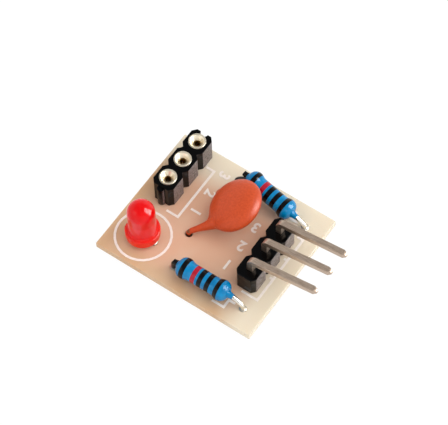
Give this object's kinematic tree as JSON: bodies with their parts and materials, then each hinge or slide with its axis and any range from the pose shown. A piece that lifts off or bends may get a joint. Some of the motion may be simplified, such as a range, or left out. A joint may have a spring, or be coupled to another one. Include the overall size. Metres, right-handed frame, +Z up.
{
  "type": "laser receiver module",
  "caption": "Small sensor board with an empty socket strip, red indicator light, disc capacitor, blue resistors and a bent pin header.",
  "frame": {"origin": "centre of the board's upper face", "axes": "+X along the board's long edge towards the header pins, +Y towards the rear resistor, +Z up from the board's upper face"},
  "size_m": [0.023, 0.0154, 0.0078],
  "materials": {
    "board_laminate": "plain laminate, dull, slightly see-through, tan where copper lies under it",
    "white_print": "flat white screen print",
    "copper": "thin copper under clear flux",
    "black_plastic": "glossy black moulded plastic",
    "sleeve_metal": "tin-plated turned metal",
    "clip_metal": "gold-plated spring metal",
    "pin_metal": "tin-plated drawn pin, warm grey",
    "red_epoxy": "red tinted epoxy, smooth and translucent",
    "led_lead_metal": "tinned flat strip",
    "capacitor_lead_metal": "tinned wire with a brown film",
    "terracotta_coating": "dipped terracotta coating, soft shine",
    "tinned_wire": "bright tinned wire",
    "blue_lacquer": "glossy cyan-blue lacquer with painted colour bands",
    "solder": "bright tin solder"
  },
  "bodies": {
    "root": {"circuit_board": "board_laminate", "board_print": "white_print", "copper_supply": "copper", "copper_signal": "copper", "copper_light": "copper", "copper_ground": "copper", "socket_housing": "black_plastic", "header_housing": "black_plastic", "socket_sleeve_1": "sleeve_metal", "socket_clip_1": "clip_metal", "header_pin_1": "pin_metal", "socket_sleeve_2": "sleeve_metal", "socket_clip_2": "clip_metal", "header_pin_2": "pin_metal", "socket_sleeve_3": "sleeve_metal", "socket_clip_3": "clip_metal", "header_pin_3": "pin_metal", "led_lens": "red_epoxy", "led_cathode_lead": "led_lead_metal", "led_anode_lead": "led_lead_metal", "capacitor_lead_1": "capacitor_lead_metal", "capacitor_lead_2": "capacitor_lead_metal", "capacitor_body": "terracotta_coating", "resistor_front_lead_1": "tinned_wire", "resistor_front_lead_2": "tinned_wire", "resistor_rear_lead_1": "tinned_wire", "resistor_rear_lead_2": "tinned_wire", "resistor_front_body": "blue_lacquer", "resistor_rear_body": "blue_lacquer", "solder_socket_1": "solder", "solder_socket_2": "solder", "solder_socket_3": "solder", "solder_header_1": "solder", "solder_header_2": "solder", "solder_header_3": "solder", "solder_led_cathode": "solder", "solder_led_anode": "solder", "solder_capacitor_1": "solder", "solder_capacitor_2": "solder", "solder_resistor_front_1": "solder", "solder_resistor_front_2": "solder", "solder_resistor_rear_1": "solder", "solder_resistor_rear_2": "solder"}
  },
  "joints": []
}
